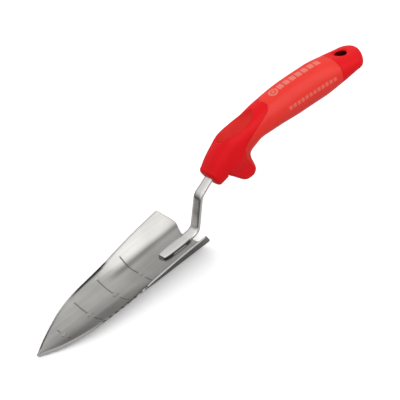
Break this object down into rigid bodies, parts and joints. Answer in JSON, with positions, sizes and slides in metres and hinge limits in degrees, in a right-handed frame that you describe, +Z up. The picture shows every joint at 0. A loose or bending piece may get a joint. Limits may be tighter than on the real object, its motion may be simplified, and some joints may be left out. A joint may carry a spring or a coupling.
{
  "type": "hand trowel",
  "caption": "Hand trowel: pointed scoop blade with depth marks and one toothed edge, cranked shank, soft-grip handle with thumb rest, finger guard and hang hole.",
  "frame": {"origin": "under the middle of the whole trowel, at the height of the blade's lowest point", "axes": "+X from the blade's tip to the end of the handle, +Z up out of the blade's hollow side, +Y to the left looking from the tip along +X"},
  "size_m": [0.3418, 0.064, 0.0671],
  "materials": {
    "blade_steel": "satin stainless with polished ground edges",
    "shank_steel": "polished stainless bar",
    "weld_steel": "brushed weld bead",
    "handle_plastic": "red moulded plastic, low sheen",
    "soft_gel": "satin see-into red gel",
    "soft_pad": "fine-grained soft inlay"
  },
  "bodies": {
    "root": {"blade": "blade_steel", "shank": "shank_steel", "weld_left": "weld_steel", "weld_right": "weld_steel", "weld_toe": "weld_steel", "handle_core": "handle_plastic", "gel_grip": "soft_gel", "thumb_pad": "soft_pad"}
  },
  "joints": []
}
